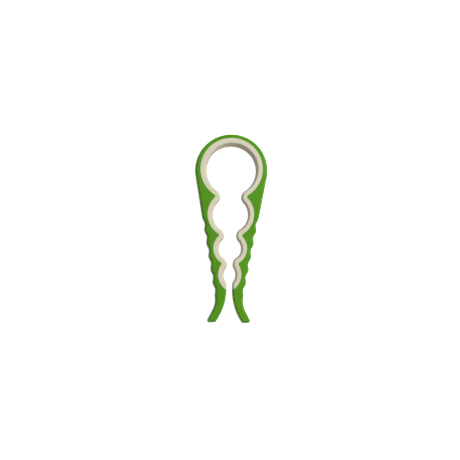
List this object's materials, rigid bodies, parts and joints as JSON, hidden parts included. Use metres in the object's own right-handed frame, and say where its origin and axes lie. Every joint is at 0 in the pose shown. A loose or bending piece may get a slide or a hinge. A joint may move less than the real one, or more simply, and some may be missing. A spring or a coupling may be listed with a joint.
{
  "type": "jar opener",
  "caption": "Flat keyhole-shaped squeeze opener for jar and bottle lids: a springy bow, two scalloped arms with flared feet, and a soft liner that forms a ring and smaller jaws.",
  "frame": {"origin": "middle of the back face's bounding box, at the foot of the bounding box (z = 0)", "axes": "+Z from the back face to the front face, +Y from the feet to the bow, +X to the right seen from the front"},
  "size_m": [0.0866, 0.2242, 0.018],
  "materials": {
    "frame_plastic": "grass green, satin, fine moulded texture",
    "liner_rubber": "cream, soft matt thermoplastic rubber"
  },
  "bodies": {
    "bow": {"frame_bow": "frame_plastic", "liner_bow": "liner_rubber"},
    "left_arm": {"frame_left_arm": "frame_plastic", "liner_left_arm": "liner_rubber"},
    "right_arm": {"frame_right_arm": "frame_plastic", "liner_right_arm": "liner_rubber"}
  },
  "joints": [
    {"name": "left_flex", "type": "hinge", "parent": "bow", "child": "left_arm", "pos_m": [-0.02559, 0.10018, 0.009], "axis": [0, 0, -1], "range_deg": [-1, 5], "stiffness_Nm_per_rad": 4},
    {"name": "right_flex", "type": "hinge", "parent": "bow", "child": "right_arm", "pos_m": [0.02559, 0.10018, 0.009], "axis": [0, 0, 1], "range_deg": [-1, 5], "stiffness_Nm_per_rad": 4}
  ],
  "couplings": [
    {"joint": "right_flex", "follows": "left_flex", "ratio": 1}
  ]
}
